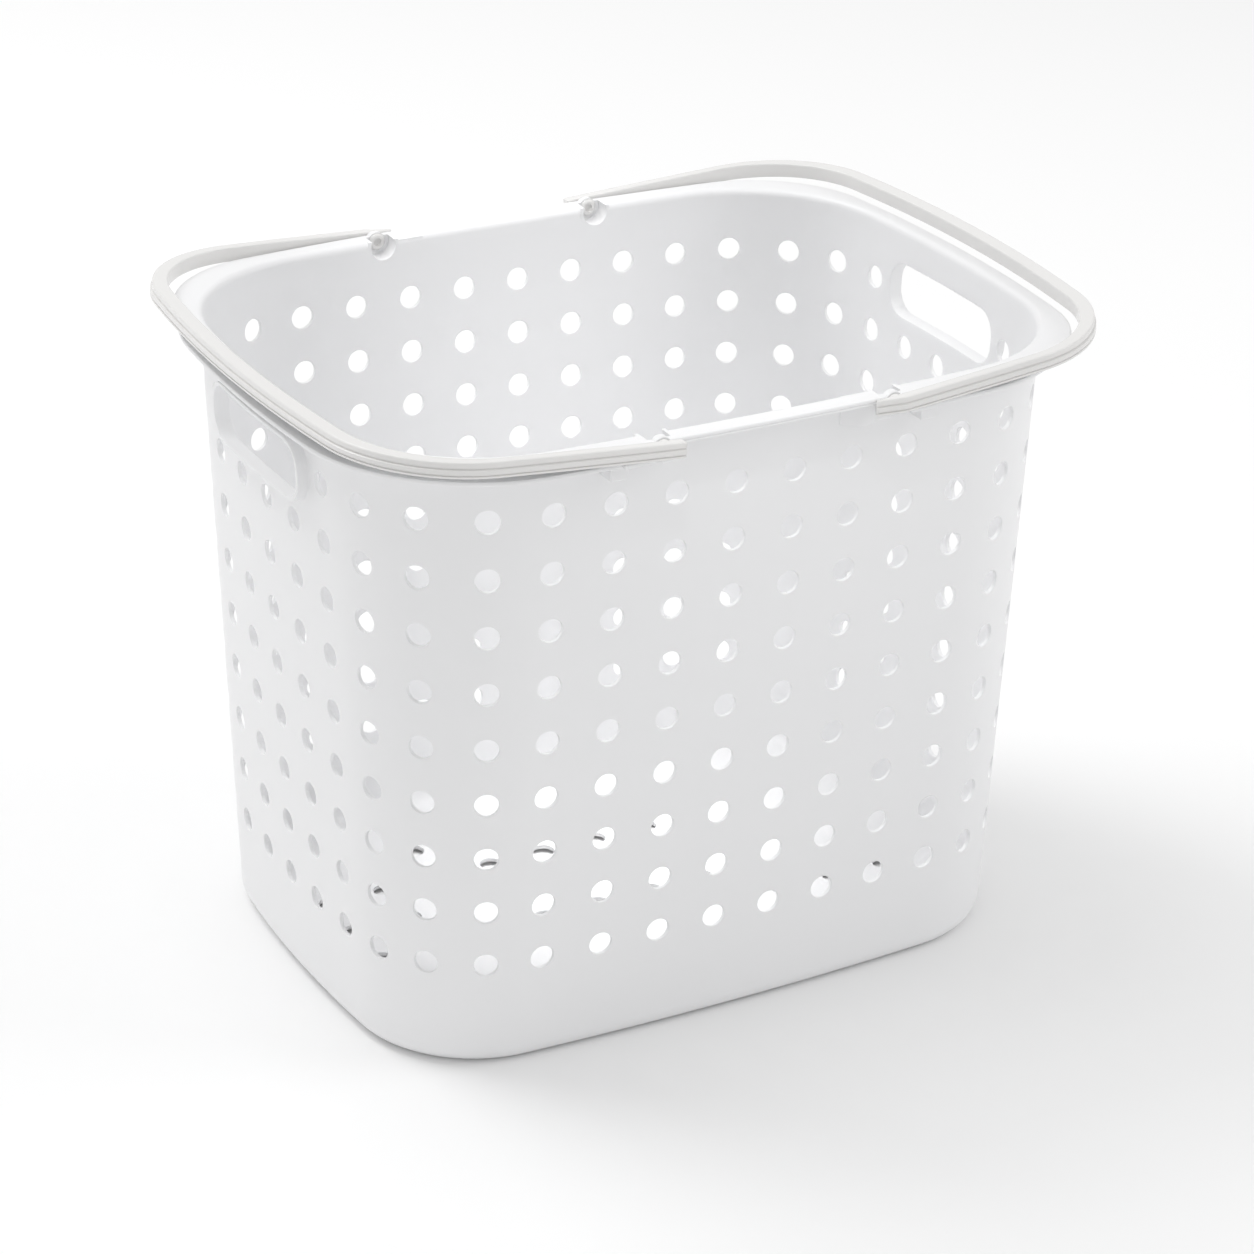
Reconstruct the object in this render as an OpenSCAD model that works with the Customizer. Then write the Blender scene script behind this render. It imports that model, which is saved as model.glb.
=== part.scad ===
// Open laundry basket: one perforated tapered tub with a flat flared rim, and two
// swing handles that lie round the rim ends and meet above the middle when raised.
// X runs along the long sides, Y across, Z up; the origin is under the middle of the base.
// Plan outlines are four shallow side arcs joined by four corner arcs, all tangent.

/* [Tub] */
// Half length of the tub's outer wall at the top row of holes
tub_half_l = 208.3; // [190:0.5:230]
// Half width of the tub's outer wall at the top row of holes
tub_half_w = 155.5; // [140:0.5:170]
// Corner radius of the outer wall at the top row of holes
tub_corner_r = 84.3; // [75:0.5:95]
// Outward bow of each long side
long_bow = 10.4; // [6:0.2:14]
// Outward bow of each short side
short_bow = 14.1; // [10:0.2:18]
// Wall thickness
wall_t = 2.4; // [1.8:0.1:3]
// Inward lean of the wall per millimetre of depth
draft = 0.038; // [0.02:0.001:0.05]
// Radius of the rounded edge between wall and floor
base_edge_r = 11; // [8:0.5:14]
// Floor thickness
floor_t = 2.6; // [2:0.1:4]
// Height of the standing ring under the floor
foot_h = 2.5; // [1.5:0.1:4]
// Width of the standing ring's flat
foot_w = 12; // [8:0.5:20]

/* [Rim] */
// Height of the rim's top face above the floor that the basket stands on
rim_h = 355.5; // [320:0.5:420]
// Reach of the rim past the tub's outline at each end
rim_reach_l = 9.8; // [7:0.1:16]
// Reach of the rim past the tub's outline at each long side
rim_reach_w = 12.6; // [10.5:0.1:18]
// Corner radius of the rim's outer edge
rim_corner_r = 72; // [65:0.5:80]
// Thickness of the rim's top band
rim_t = 2.6; // [2:0.1:3.5]
// Depth of the short skirt at the rim's outer edge
skirt_h = 3.4; // [3:0.1:5]
// Thickness of that skirt
skirt_t = 2.2; // [1.6:0.1:3]

/* [Vent holes] */
// Hole diameter
hole_d = 13; // [9:0.5:16]
// Most rows of holes
rows = 14; // [5:1:16]
// Distance between rows
row_pitch = 32.1; // [30:0.1:36]
// Depth of the top row under the rim's top face
top_row_drop = 35.7; // [34:0.1:40]
// Least height of the bottom row
low_band = 55; // [45:1:80]
// Most columns of holes on each long side
long_cols = 14; // [6:1:16]
// Distance between columns on a long side
long_pitch = 34; // [30:0.1:38]
// Most columns of holes on each short side
short_cols = 13; // [7:2:15]
// Distance between columns on a short side
short_pitch = 33; // [30:0.1:38]
// Distance between the holes in the floor
floor_pitch = 34; // [30:0.5:40]

/* [Hand slots] */
// Width of the grip opening in each short side
slot_w = 103; // [95:1:110]
// Height of the grip opening
slot_h = 31; // [26:0.5:34]
// Corner radius of the grip opening
slot_r = 13; // [8:0.5:13]
// How far the opening's collar stands out of the wall
collar_out = 6.5; // [4:0.5:9]
// Thickness of the collar
collar_t = 2.4; // [2:0.1:3]
// Columns of holes in the top row that the opening replaces
slot_cols = 3; // [3:2:3]

/* [Handles] */
// Distance of each handle's pivots from the middle of the basket
pivot_x = 67; // [60:0.5:75]
// Depth of the pivot axis under the rim's top face
pivot_drop = 3.3; // [2:0.1:5]
// Width of a handle at its far end
handle_end_w = 9.5; // [7:0.1:14]
// Width of a handle's legs
handle_leg_w = 6.8; // [6:0.1:10]
// Corner radius of a handle's outer edge
handle_corner_r = 70.5; // [62:0.5:76]
// Corner radius of a handle's inner edge
handle_inner_r = 64; // [58:0.5:68]
// Room between the rim's edge and a handle
handle_gap = 1.3; // [0.8:0.1:2]
// Height of the handle's section
handle_h = 8.2; // [7:0.1:10]
// Height of the wider lower part of the section
handle_step_h = 4.2; // [3:0.1:5]
// How far the lower part stands out past the upper part
handle_step = 0.8; // [0.4:0.1:1.2]
// Thickness of the handle's walls round its underside channel
handle_wall = 1.9; // [1.5:0.1:2.2]
// Depth of the underside channel
channel_d = 5.4; // [3:0.1:6]
// Upward tilt of a handle at rest
rest_tilt = 3.8; // [2:0.1:6]
// Length of the square leg end past its pivot
square_end = 9.4; // [5:0.1:9.6]
// Length of the tapered leg end past its pivot
tapered_end = 12; // [10:0.5:14]

/* [Pivots] */
// Peg diameter
peg_d = 8.5; // [7.5:0.1:9]
// Running clearance round a peg
peg_gap = 0.1; // [0.02:0.01:0.1]
// Diameter of the peg's hollow end
peg_core_d = 4.6; // [3:0.1:5]
// How far the snap head stands out past the peg
snap_lip = 0.6; // [0.3:0.1:0.8]
// Length of the snap head
snap_len = 1.6; // [1.4:0.1:3]
// Radius of the round recess that shows the peg from inside
scoop_r = 7.4; // [7:0.1:9]
// Depth of the recess into the rim, from the wall's inner face
scoop_d = 9.5; // [6.2:0.1:10.5]
// Thickness of the cup round the recess
cup_t = 2; // [1.5:0.1:2.5]
// Radius of the barrel round the peg
barrel_r = 5.3; // [5.2:0.1:6.6]
// Gap between a resting leg and its stop pad
rest_gap = 0.3; // [0.2:0.05:0.5]

/* [Hidden] */
$fn = 96;
corner_steps = 10; // straight steps that draw each corner arc
long_steps = 8; // and each long side
short_steps = 6; // and each short side

tub_color = [0.93, 0.935, 0.945];
handle_color = [0.94, 0.94, 0.93];

long_r = tub_half_l * tub_half_l / (2 * long_bow);
short_r = tub_half_w * tub_half_w / (2 * short_bow);

// An outline is [half length, half width, corner radius, long side radius, short side radius].
// All outlines here are concentric with the tub's own side arcs.
function outline(half_l, half_w, corner_r) =
    [half_l, half_w, corner_r, long_r + half_w - tub_half_w, short_r + half_l - tub_half_l];
// Centre of the corner arc in the +x +y quarter: where circles about both side centres cross
function corner_centre(o) =
    let (ax = o[0] - o[4], by = o[1] - o[3], span = norm([ax, by]),
         r1 = o[4] - o[2], r2 = o[3] - o[2],
         along = (r1 * r1 - r2 * r2 + span * span) / (2 * span),
         rise = sqrt(r1 * r1 - along * along),
         ux = -ax / span, uy = by / span)
    [ax + along * ux - rise * uy, along * uy + rise * ux];
// Angle from +x at which the short side arc hands over to the corner arc
function short_angle(o) = let (c = corner_centre(o)) atan2(c[1], c[0] - (o[0] - o[4]));
// Angle from +y at which the long side arc hands over to the corner arc
function long_angle(o) = let (c = corner_centre(o)) atan2(c[0], c[1] - (o[1] - o[3]));

tub = outline(tub_half_l, tub_half_w, tub_corner_r);
rim_half_l = tub_half_l + rim_reach_l;
rim_half_w = tub_half_w + rim_reach_w;
handle_in_l = rim_half_l + handle_gap;
handle_in_w = rim_half_w + handle_gap;
rim = outline(rim_half_l, rim_half_w, rim_corner_r);
handle_inner = outline(handle_in_l, handle_in_w, handle_inner_r);
handle_outer = outline(handle_in_l + handle_end_w, handle_in_w + handle_leg_w, handle_corner_r);

top_row_h = rim_h - top_row_drop;
// Offset of the tub's outer face from its outline at a height
function lean(z) = (z - top_row_h) * draft;
rim_off = lean(rim_h);
base_off = lean(base_edge_r);
floor_top = foot_h + floor_t;
pivot_z = rim_h - pivot_drop;
peg_r = peg_d / 2;
ledge_drop = 8.5; // ledge top under the rim's top face
ledge_t = 2.8;
ledge_w = 12.6; // ledge reach from the tub's outline
ledge_start = pivot_x + 19;

// Lengths along the tub's outline: half a short side, half a long side, and all of one corner
short_len = tub[4] * short_angle(tub) * PI / 180;
long_len = tub[3] * long_angle(tub) * PI / 180;
corner_len = tub[2] * (90 - short_angle(tub) - long_angle(tub)) * PI / 180;
// Rows and columns of holes that fit, up to the most that are wanted; the short sides' columns
// run half way round the corners, and the long sides' stop a pitch before them
row_count = min(rows, 1 + floor((top_row_h - low_band) / row_pitch));
short_count = min(short_cols, 1 + 2 * floor((short_len + corner_len / 2) / short_pitch));
long_room = short_len + corner_len + long_len - (short_count + 1) / 2 * short_pitch;
long_count = min(long_cols, 1 + floor(2 * long_room / long_pitch));

// Points along one arc, without its last point
function arc(centre, r, from, to, steps) =
    [for (k = [0 : steps - 1]) let (t = from + (to - from) * k / steps) centre + r * [cos(t), sin(t)]];
// Points round an outline that has been moved outwards by a distance, anticlockwise
function ring(o, by = 0) =
    let (c = corner_centre(o), sa = short_angle(o), la = long_angle(o),
         ax = o[0] - o[4], ay = o[1] - o[3], rc = o[2] + by, rl = o[3] + by, rs = o[4] + by)
    concat(
        arc([ax, 0], rs, -sa, sa, short_steps), arc(c, rc, sa, 90 - la, corner_steps),
        arc([0, ay], rl, 90 - la, 90 + la, long_steps),
        arc([-c[0], c[1]], rc, 90 + la, 180 - sa, corner_steps),
        arc([-ax, 0], rs, 180 - sa, 180 + sa, short_steps),
        arc([-c[0], -c[1]], rc, 180 + sa, 270 - la, corner_steps),
        arc([0, -ay], rl, 270 - la, 270 + la, long_steps),
        arc([c[0], -c[1]], rc, 270 + la, 360 - sa, corner_steps));

// Straight-sided plate with an outline
module plate(o, z0, z1, by = 0) {
    translate([0, 0, z0]) linear_extrude(z1 - z0) polygon(ring(o, by));
}

// Solid whose outline moves by profile[k][0] at height profile[k][1]
module loft(o, profile) {
    rings = [for (p = profile) ring(o, p[0])];
    n = len(rings[0]);
    last = len(profile) - 1;
    polyhedron(
        points = [for (j = [0 : last], q = rings[j]) [q[0], q[1], profile[j][1]]],
        faces = concat(
            [[for (i = [0 : n - 1]) i]],
            [for (j = [0 : last - 1], i = [0 : n - 1]) let (k = (i + 1) % n)
                [j * n + i, (j + 1) * n + i, (j + 1) * n + k, j * n + k]],
            [[for (i = [n - 1 : -1 : 0]) last * n + i]]));
}

// Places its children on the tub's outline: the angle is the outward direction from +x,
// found from the arc length along the outline, and z leans with the wall
module on_long(s, z) {
    turn = long_turn(s);
    c = corner_centre(tub);
    on_side = abs(s) <= long_len;
    base = on_side ? [0, tub[1] - tub[3]] : [sign(s) * c[0], c[1]];
    r = (on_side ? tub[3] : tub[2]) + lean(z);
    translate([base[0] + r * sin(turn), base[1] + r * cos(turn), z]) rotate([0, 0, 90 - turn]) children();
}
function long_turn(s) = abs(s) <= long_len ? s / tub[3] * 180 / PI
    : sign(s) * (long_angle(tub) + (abs(s) - long_len) / tub[2] * 180 / PI);
module on_short(s, z) {
    turn = short_turn(s);
    c = corner_centre(tub);
    on_side = abs(s) <= short_len;
    base = on_side ? [tub[0] - tub[4], 0] : [c[0], sign(s) * c[1]];
    r = (on_side ? tub[4] : tub[2]) + lean(z);
    translate([base[0] + r * cos(turn), base[1] + r * sin(turn), z]) rotate([0, 0, turn]) children();
}
function short_turn(s) = abs(s) <= short_len ? s / tub[4] * 180 / PI
    : sign(s) * (short_angle(tub) + (abs(s) - short_len) / tub[2] * 180 / PI);

// One round hole through the wall, with its axis along local x
module vent() {
    cut = 8;
    rotate([0, 90, 0]) cylinder(d = hole_d, h = 2 * cut, center = true, $fn = 32);
}

module vents() {
    for (i = [0 : row_count - 1]) {
        z = top_row_h - i * row_pitch;
        for (j = [0 : long_count - 1], my = [0, 1])
            mirror([0, my, 0]) on_long((j - (long_count - 1) / 2) * long_pitch, z) vent();
        for (j = [0 : short_count - 1], mx = [0, 1])
            if (i > 0 || abs(j - (short_count - 1) / 2) > slot_cols / 2)
                mirror([mx, 0, 0]) on_short((j - (short_count - 1) / 2) * short_pitch, z) vent();
    }
}

// Holes in the floor, on a grid that stays inside the floor's flat area
module floor_vents() {
    reach_l = tub_half_l + lean(0) - base_edge_r - foot_w - hole_d;
    reach_w = tub_half_w + lean(0) - base_edge_r - foot_w - hole_d;
    corner = tub_corner_r * 0.8;
    nx = floor(reach_l / floor_pitch + 0.5);
    ny = floor(reach_w / floor_pitch + 0.5);
    for (x = [0.5 - nx : nx - 0.5], y = [0.5 - ny : ny - 0.5]) {
        px = x * floor_pitch;
        py = y * floor_pitch;
        over = [max(abs(px) - (reach_l - corner), 0), max(abs(py) - (reach_w - corner), 0)];
        if (norm(over) < corner)
            translate([px, py, 0]) cylinder(d = hole_d, h = floor_top + 1, $fn = 32);
    }
}

// The tub's full outer form, with its rounded base edge
module tub_outside() {
    edge = [for (t = [0 : 22.5 : 90]) [base_off - base_edge_r * (1 - sin(t)), base_edge_r * (1 - cos(t))]];
    loft(tub, concat(edge, [[rim_off, rim_h]]));
}

// The space inside the tub
module tub_inside() {
    r = base_edge_r - wall_t;
    off = lean(floor_top + r) - wall_t;
    edge = [for (t = [0 : 22.5 : 90]) [off - r * (1 - sin(t)), floor_top + r * (1 - cos(t))]];
    loft(tub, concat(edge, [[lean(rim_h + 1) - wall_t, rim_h + 1]]));
}

// Flat top band out to the rim's own outline, with a short skirt at its edge
module rim_band() {
    plate(rim, rim_h - rim_t, rim_h);
    difference() {
        plate(rim, rim_h - skirt_h, rim_h - rim_t / 2);
        plate(rim, rim_h - skirt_h - 1, rim_h, -skirt_t);
    }
}

// Lower ledge round both ends, under the handles
module ledges() {
    z1 = rim_h - ledge_drop;
    intersection() {
        plate(tub, z1 - ledge_t, z1, ledge_w);
        for (sx = [-1, 1])
            translate([sx * (ledge_start + tub_half_l), 0, rim_h])
                cube([2 * tub_half_l, 4 * tub_half_w, 60], center = true);
    }
}

// Everything that is placed at the pivots: right and left, front and back
module at_pivots() {
    for (turn = [0, 180]) rotate([0, 0, turn]) {
        translate([-pivot_x, -face_y, pivot_z]) children(0);
        translate([-pivot_x, face_y, pivot_z]) mirror([0, 1, 0]) children(1);
    }
}
// Distance of the rim's outer edge from the middle, at the pivots
face_y = rim[1] - rim[3] + sqrt(rim[3] * rim[3] - pivot_x * pivot_x);
// The same for the wall's inner face, and for the handle's inner face
wall_y = tub[1] - tub[3] + sqrt(pow(tub[3] + rim_off - wall_t, 2) - pivot_x * pivot_x);
leg_y = handle_inner[1] - handle_inner[3] + sqrt(pow(handle_inner[3], 2) - pivot_x * pivot_x);
band_w = face_y - wall_y; // wall's inner face to the rim's edge
cup_r = scoop_r + cup_t;
pad_x0 = 8.5; // the stop pad starts this far out from the pivot
pad_x1 = ledge_start - pivot_x + 4;
pad_out = 4.4; // how far the pad reaches under the leg
web_h = 14.5; // depth of the gusset under the pivot
plate_w = square_end + 3; // the plate shows past the squared leg end
plate_h = 9.5;
fair_x = tapered_end + 13; // the fairing ends this far past the pivot

// Material of one pivot, from the rim's edge inwards along +y; a leg lies on the -y side
module bracket_body(faired) {
    // cup round the recess, cut level with the underside of the rim
    difference() {
        translate([0, band_w, 0]) rotate([90, 0, 0]) cylinder(r = cup_r, h = scoop_d + cup_t);
        translate([0, band_w, pivot_drop + cup_r]) cube([4 * cup_r, 4 * band_w, 2 * cup_r], center = true);
    }
    // barrel round the peg, out to the rim's edge
    rotate([-90, 0, 0]) cylinder(r = barrel_r, h = band_w - 1);
    // plate behind the leg end, from the barrel towards the middle
    translate([0, 0.8, -plate_h]) cube([plate_w, band_w - 2, plate_h + pivot_drop - 1]);
    // stop pad that the resting leg lies on, with its web down to the ledge
    pad_top = -handle_h / 2 / cos(rest_tilt) - rest_gap + pad_x0 * tan(rest_tilt);
    translate([-pad_x1, -pad_out, pad_top - 2.4]) cube([pad_x1 - pad_x0, band_w + pad_out - 1, 2.4]);
    // gusset under the ledge
    translate([-pad_x1 - 5, 1.5, -web_h]) cube([10, band_w - 2.5, web_h - 4]);
    // fairing behind the tapered leg end: deepest past the tip, rising under the leg
    if (faired) intersection() {
        translate([0, 0, -20]) linear_extrude(40)
            polygon([[-1, 0.3], [-1, band_w - 1], [fair_x, band_w - 1], [fair_x, band_w - 3], [tapered_end - 1, 0.3]]);
        translate([0, band_w, 0]) rotate([90, 0, 0]) linear_extrude(band_w)
            polygon([[-1, -4], [-1, pivot_drop - 1], [fair_x, pivot_drop - 1], [fair_x, -12.5],
                     [tapered_end + 3, -12.5], [tapered_end - 2, -9]]);
    }
}

// Recess and peg hole of one pivot
module bracket_cuts() {
    translate([0, band_w + 6, 0]) rotate([90, 0, 0]) cylinder(r = scoop_r, h = 6 + scoop_d);
    translate([0, band_w + 1, 0]) rotate([90, 0, 0]) cylinder(r = peg_r + peg_gap, h = band_w + 8);
}

module basket() {
    color(tub_color) difference() {
        union() {
            tub_outside();
            slot_collars();
            rim_band();
            ledges();
            at_pivots() {
                bracket_body(false);
                bracket_body(true);
            }
        }
        tub_inside();
        plate(tub, -1, foot_h, base_off - base_edge_r - foot_w);
        slot_openings();
        vents();
        floor_vents();
        at_pivots() {
            bracket_cuts();
            bracket_cuts();
        }
    }
}

// Rounded block for the grip opening, pointing along +x
module slot_block(w, h, r, x0, x1) {
    translate([x0, 0, 0]) rotate([90, 0, 90]) linear_extrude(x1 - x0) {
        square([w - 2 * r, h], center = true);
        square([w, h - 2 * r], center = true);
        for (sx = [-1, 1], sy = [-1, 1])
            translate([sx * (w / 2 - r), sy * (h / 2 - r)]) circle(r = r);
    }
}
module slot_collars() {
    for (mx = [0, 1]) mirror([mx, 0, 0]) intersection() {
        translate([0, 0, top_row_h])
            slot_block(slot_w + 2 * collar_t, slot_h + 2 * collar_t, slot_r + collar_t, tub_half_l - 20,
                       tub_half_l + 20);
        plate(tub, top_row_h - slot_h, top_row_h + slot_h, collar_out);
    }
}
module slot_openings() {
    for (mx = [0, 1]) mirror([mx, 0, 0]) translate([0, 0, top_row_h])
        slot_block(slot_w, slot_h, slot_r, tub_half_l - 30, tub_half_l + 30);
}

// One handle, lying to the left of its pivots, with its plane through the pivot axis level
module handle_loop() {
    half = handle_h / 2;
    difference() {
        union() {
            plate(handle_outer, -half, -half + handle_step_h);
            plate(handle_outer, -half, half, -handle_step);
        }
        plate(handle_inner, -half - 1, half + 1);
        // underside channel, closed before the pivots
        difference() {
            plate(handle_outer, -half - 1, -half + channel_d, -handle_step - handle_wall);
            plate(handle_inner, -half - 2, -half + channel_d + 1, handle_wall);
            translate([-pivot_x + 300 - 12, 0, 0]) cube([600, 600, 60], center = true);
        }
        // everything past the leg ends
        translate([-pivot_x + square_end, -400, -30]) cube([800, 400, 60]);
        translate([-pivot_x + tapered_end, -1, -30]) cube([800, 400, 60]);
        // taper of the long leg end
        translate([-pivot_x + tapered_end, leg_y + 2.4, 0]) rotate([0, 0, -16])
            translate([-25, 0, -30]) cube([60, 30, 60]);
    }
}

// Peg with a hollow snap head, along +y from the leg's inner face
module peg() {
    through = leg_y - wall_y - scoop_d;
    rotate([-90, 0, 0]) difference() {
        union() {
            translate([0, 0, -2]) cylinder(r = peg_r, h = through + 2.7);
            translate([0, 0, through + 0.2]) cylinder(r1 = peg_r + snap_lip, r2 = peg_r - 0.4, h = snap_len);
        }
        translate([0, 0, through - 3]) cylinder(d = peg_core_d, h = snap_len + 4);
    }
}

module handle() {
    color(handle_color) translate([-pivot_x, 0, pivot_z]) rotate([0, rest_tilt, 0]) {
        translate([pivot_x, 0, 0]) handle_loop();
        translate([0, -leg_y, 0]) peg();
        mirror([0, 1, 0]) translate([0, -leg_y, 0]) peg();
    }
}
module left_handle() handle();
module right_handle() rotate([0, 0, 180]) handle();

basket();
left_handle();
right_handle();
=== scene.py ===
from math import atan2, cos, hypot, pi, radians, sin, sqrt, tan

import bmesh
import bpy
from mathutils import Matrix, Vector
from mathutils.geometry import tessellate_polygon


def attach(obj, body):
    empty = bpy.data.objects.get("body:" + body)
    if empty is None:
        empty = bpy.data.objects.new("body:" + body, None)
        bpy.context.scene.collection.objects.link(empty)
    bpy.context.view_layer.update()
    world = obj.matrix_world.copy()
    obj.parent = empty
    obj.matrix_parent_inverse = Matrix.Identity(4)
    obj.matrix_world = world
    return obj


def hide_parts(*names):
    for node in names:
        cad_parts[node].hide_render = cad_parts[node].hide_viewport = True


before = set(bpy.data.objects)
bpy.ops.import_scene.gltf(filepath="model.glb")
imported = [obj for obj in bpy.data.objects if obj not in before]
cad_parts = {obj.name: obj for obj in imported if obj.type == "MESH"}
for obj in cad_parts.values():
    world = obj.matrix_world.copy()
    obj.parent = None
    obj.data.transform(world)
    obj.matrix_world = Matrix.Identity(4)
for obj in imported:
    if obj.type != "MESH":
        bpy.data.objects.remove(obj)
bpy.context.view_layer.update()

mm = 0.001  # sizes below are in millimetres, meshes in metres

# The tub's wall: four shallow side arcs joined by four corner arcs, measured at the top row of vents
tub = {
    "halfLength": 208.3, "halfWidth": 155.5, "corner": 84.3, "longBow": 10.4, "shortBow": 14.1,
    "wall": 2.4, "lean": 0.038, "topRow": 319.8, "baseEdge": 11.0,
    "footHeight": 2.5, "floorTop": 5.1, "footWidth": 12.0,
}
rim = {
    "top": 355.5, "halfLength": 218.1, "halfWidth": 168.1, "corner": 72.0,
    "innerRound": 4.0,
    "ledgeDrop": 8.5, "ledgeThick": 2.8, "ledgeReach": 12.6, "ledgeStart": 86.0,
}
vents = {
    "radius": 6.5, "rows": 9, "rowPitch": 32.1, "longColumns": 10, "longPitch": 34.0,
    "shortColumns": 9, "shortPitch": 33.0, "edgeRound": 0.5, "floorPitch": 34.0,
}
slots = {"width": 103.0, "height": 31.0, "corner": 13.0, "collarOut": 6.5, "collarThick": 2.4}
pivots = {
    "x": 67.0, "drop": 3.3, "scoopRadius": 7.4, "scoopDepth": 9.5, "cupWall": 2.0,
    "barrelRadius": 5.3, "boreRadius": 4.35, "plateWidth": 12.4, "plateHeight": 9.5,
}
handles = {
    "halfLength": 228.9, "halfWidth": 176.2, "corner": 70.5, "innerCorner": 64.0, "gap": 1.3,
    "height": 8.2, "step": 0.8, "wallThick": 1.9, "channel": 5.4, "tilt": 3.8,
    "squareEnd": 9.4, "taperedEnd": 12.0, "pegRadius": 4.25, "pegCore": 2.3, "snapLip": 0.6, "snapLength": 1.6,
}

longRadius = tub["halfLength"] ** 2 / (2 * tub["longBow"])
shortRadius = tub["halfWidth"] ** 2 / (2 * tub["shortBow"])


def makeOutline(halfLength, halfWidth, corner):
    longR = longRadius + halfWidth - tub["halfWidth"]
    shortR = shortRadius + halfLength - tub["halfLength"]
    ax, by = halfLength - shortR, halfWidth - longR
    span = hypot(ax, by)
    r1, r2 = shortR - corner, longR - corner
    along = (r1 * r1 - r2 * r2 + span * span) / (2 * span)
    rise = sqrt(r1 * r1 - along * along)
    ux, uy = -ax / span, by / span
    centre = (ax + along * ux - rise * uy, along * uy + rise * ux)
    return {
        "ax": ax, "by": by, "longR": longR, "shortR": shortR, "corner": corner, "centre": centre,
        "shortAngle": atan2(centre[1], centre[0] - ax), "longAngle": atan2(centre[0], centre[1] - by),
    }


tubLine = makeOutline(tub["halfLength"], tub["halfWidth"], tub["corner"])
rimLine = makeOutline(rim["halfLength"], rim["halfWidth"], rim["corner"])
handleOuter = makeOutline(handles["halfLength"], handles["halfWidth"], handles["corner"])
handleInner = makeOutline(rim["halfLength"] + handles["gap"], rim["halfWidth"] + handles["gap"], handles["innerCorner"])


# Point on an outline where it faces the direction theta, moved outwards by a distance
def outlinePoint(line, theta, out=0.0):
    c, s = cos(theta), sin(theta)
    a = atan2(abs(s), abs(c))
    if a <= line["shortAngle"]:
        x, y, r = line["ax"], 0.0, line["shortR"]
    elif a >= pi / 2 - line["longAngle"]:
        x, y, r = 0.0, line["by"], line["longR"]
    else:
        (x, y), r = line["centre"], line["corner"]
    x, y = x + (r + out) * cos(a), y + (r + out) * sin(a)
    return Vector((x if c >= 0 else -x, y if s >= 0 else -y))


shortReach = tubLine["shortR"] * tubLine["shortAngle"]
longReach = tubLine["longR"] * tubLine["longAngle"]
cornerReach = tubLine["corner"] * (pi / 2 - tubLine["shortAngle"] - tubLine["longAngle"])
quarter = shortReach + cornerReach + longReach


# Direction that the tub's wall faces at a distance s round it, anticlockwise from the right end's middle
def facing(s):
    s %= 4 * quarter
    q = min(int(s // quarter), 3)
    t = s - q * quarter if q % 2 == 0 else (q + 1) * quarter - s
    if t <= shortReach:
        a = t / tubLine["shortR"]
    elif t <= shortReach + cornerReach:
        a = tubLine["shortAngle"] + (t - shortReach) / tubLine["corner"]
    else:
        a = pi / 2 - (quarter - t) / tubLine["longR"]
    return [a, pi - a, pi + a, 2 * pi - a][q]


def wallRadius(s):
    t = s % (2 * quarter)
    t = min(t, 2 * quarter - t)
    return tubLine["shortR"] if t <= shortReach else tubLine["corner"] if t <= quarter - longReach else tubLine["longR"]


def leanAt(z):
    return (z - tub["topRow"]) * tub["lean"]


# Point of the wall, at a depth in from its outer face
def wallPoint(s, z, depth=0.0):
    p = outlinePoint(tubLine, facing(s), leanAt(z) - depth)
    return Vector((p.x, p.y, z))


# A mesh under construction: loops of points, and the bands of faces between them
class Shell:
    def __init__(self):
        self.points, self.faces = [], []

    def loop(self, points):
        start = len(self.points)
        self.points += [Vector(p) for p in points]
        return list(range(start, start + len(points)))

    def band(self, a, b, closed=True):
        n = len(a)
        for i in range(n if closed else n - 1):
            j = (i + 1) % n
            self.faces.append((a[i], a[j], b[j], b[i]))

    def bands(self, loops, closed=True):
        for a, b in zip(loops, loops[1:]):
            self.band(a, b, closed)

    def cap(self, loop, flip=False):
        self.faces.append(tuple(reversed(loop)) if flip else tuple(loop))

    # Closed, welded mesh object with its faces turned outwards
    def build(self, name, weld=0.01):
        mesh = bpy.data.meshes.new(name)
        mesh.from_pydata([p * mm for p in self.points], [], self.faces)
        bm = bmesh.new()
        bm.from_mesh(mesh)
        bmesh.ops.remove_doubles(bm, verts=bm.verts, dist=weld * mm)
        bmesh.ops.recalc_face_normals(bm, faces=bm.faces)
        openEdges = sum(1 for e in bm.edges if not e.is_manifold)
        bm.to_mesh(mesh)
        bm.free()
        if openEdges:
            print("open edges in", name, openEdges)
        piece = bpy.data.objects.new(name, mesh)
        bpy.context.scene.collection.objects.link(piece)
        return piece


# Joins or cuts with other pieces, which are used up
def combine(piece, others, how):
    for other in others:
        change = piece.modifiers.new("combine", "BOOLEAN")
        change.operation, change.solver, change.object = how, "MANIFOLD", other
        applied = bpy.data.meshes.new_from_object(piece.evaluated_get(bpy.context.evaluated_depsgraph_get()))
        piece.modifiers.remove(change)
        old, piece.data = piece.data, applied
        bpy.data.meshes.remove(old)
        bpy.data.objects.remove(other)
    return piece


def smooth(piece, angle=38):
    piece.data.shade_smooth()
    piece.data.set_sharp_from_angle(angle=radians(angle))
    weighted = piece.modifiers.new("soft shading", "WEIGHTED_NORMAL")
    weighted.keep_sharp = True


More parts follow.
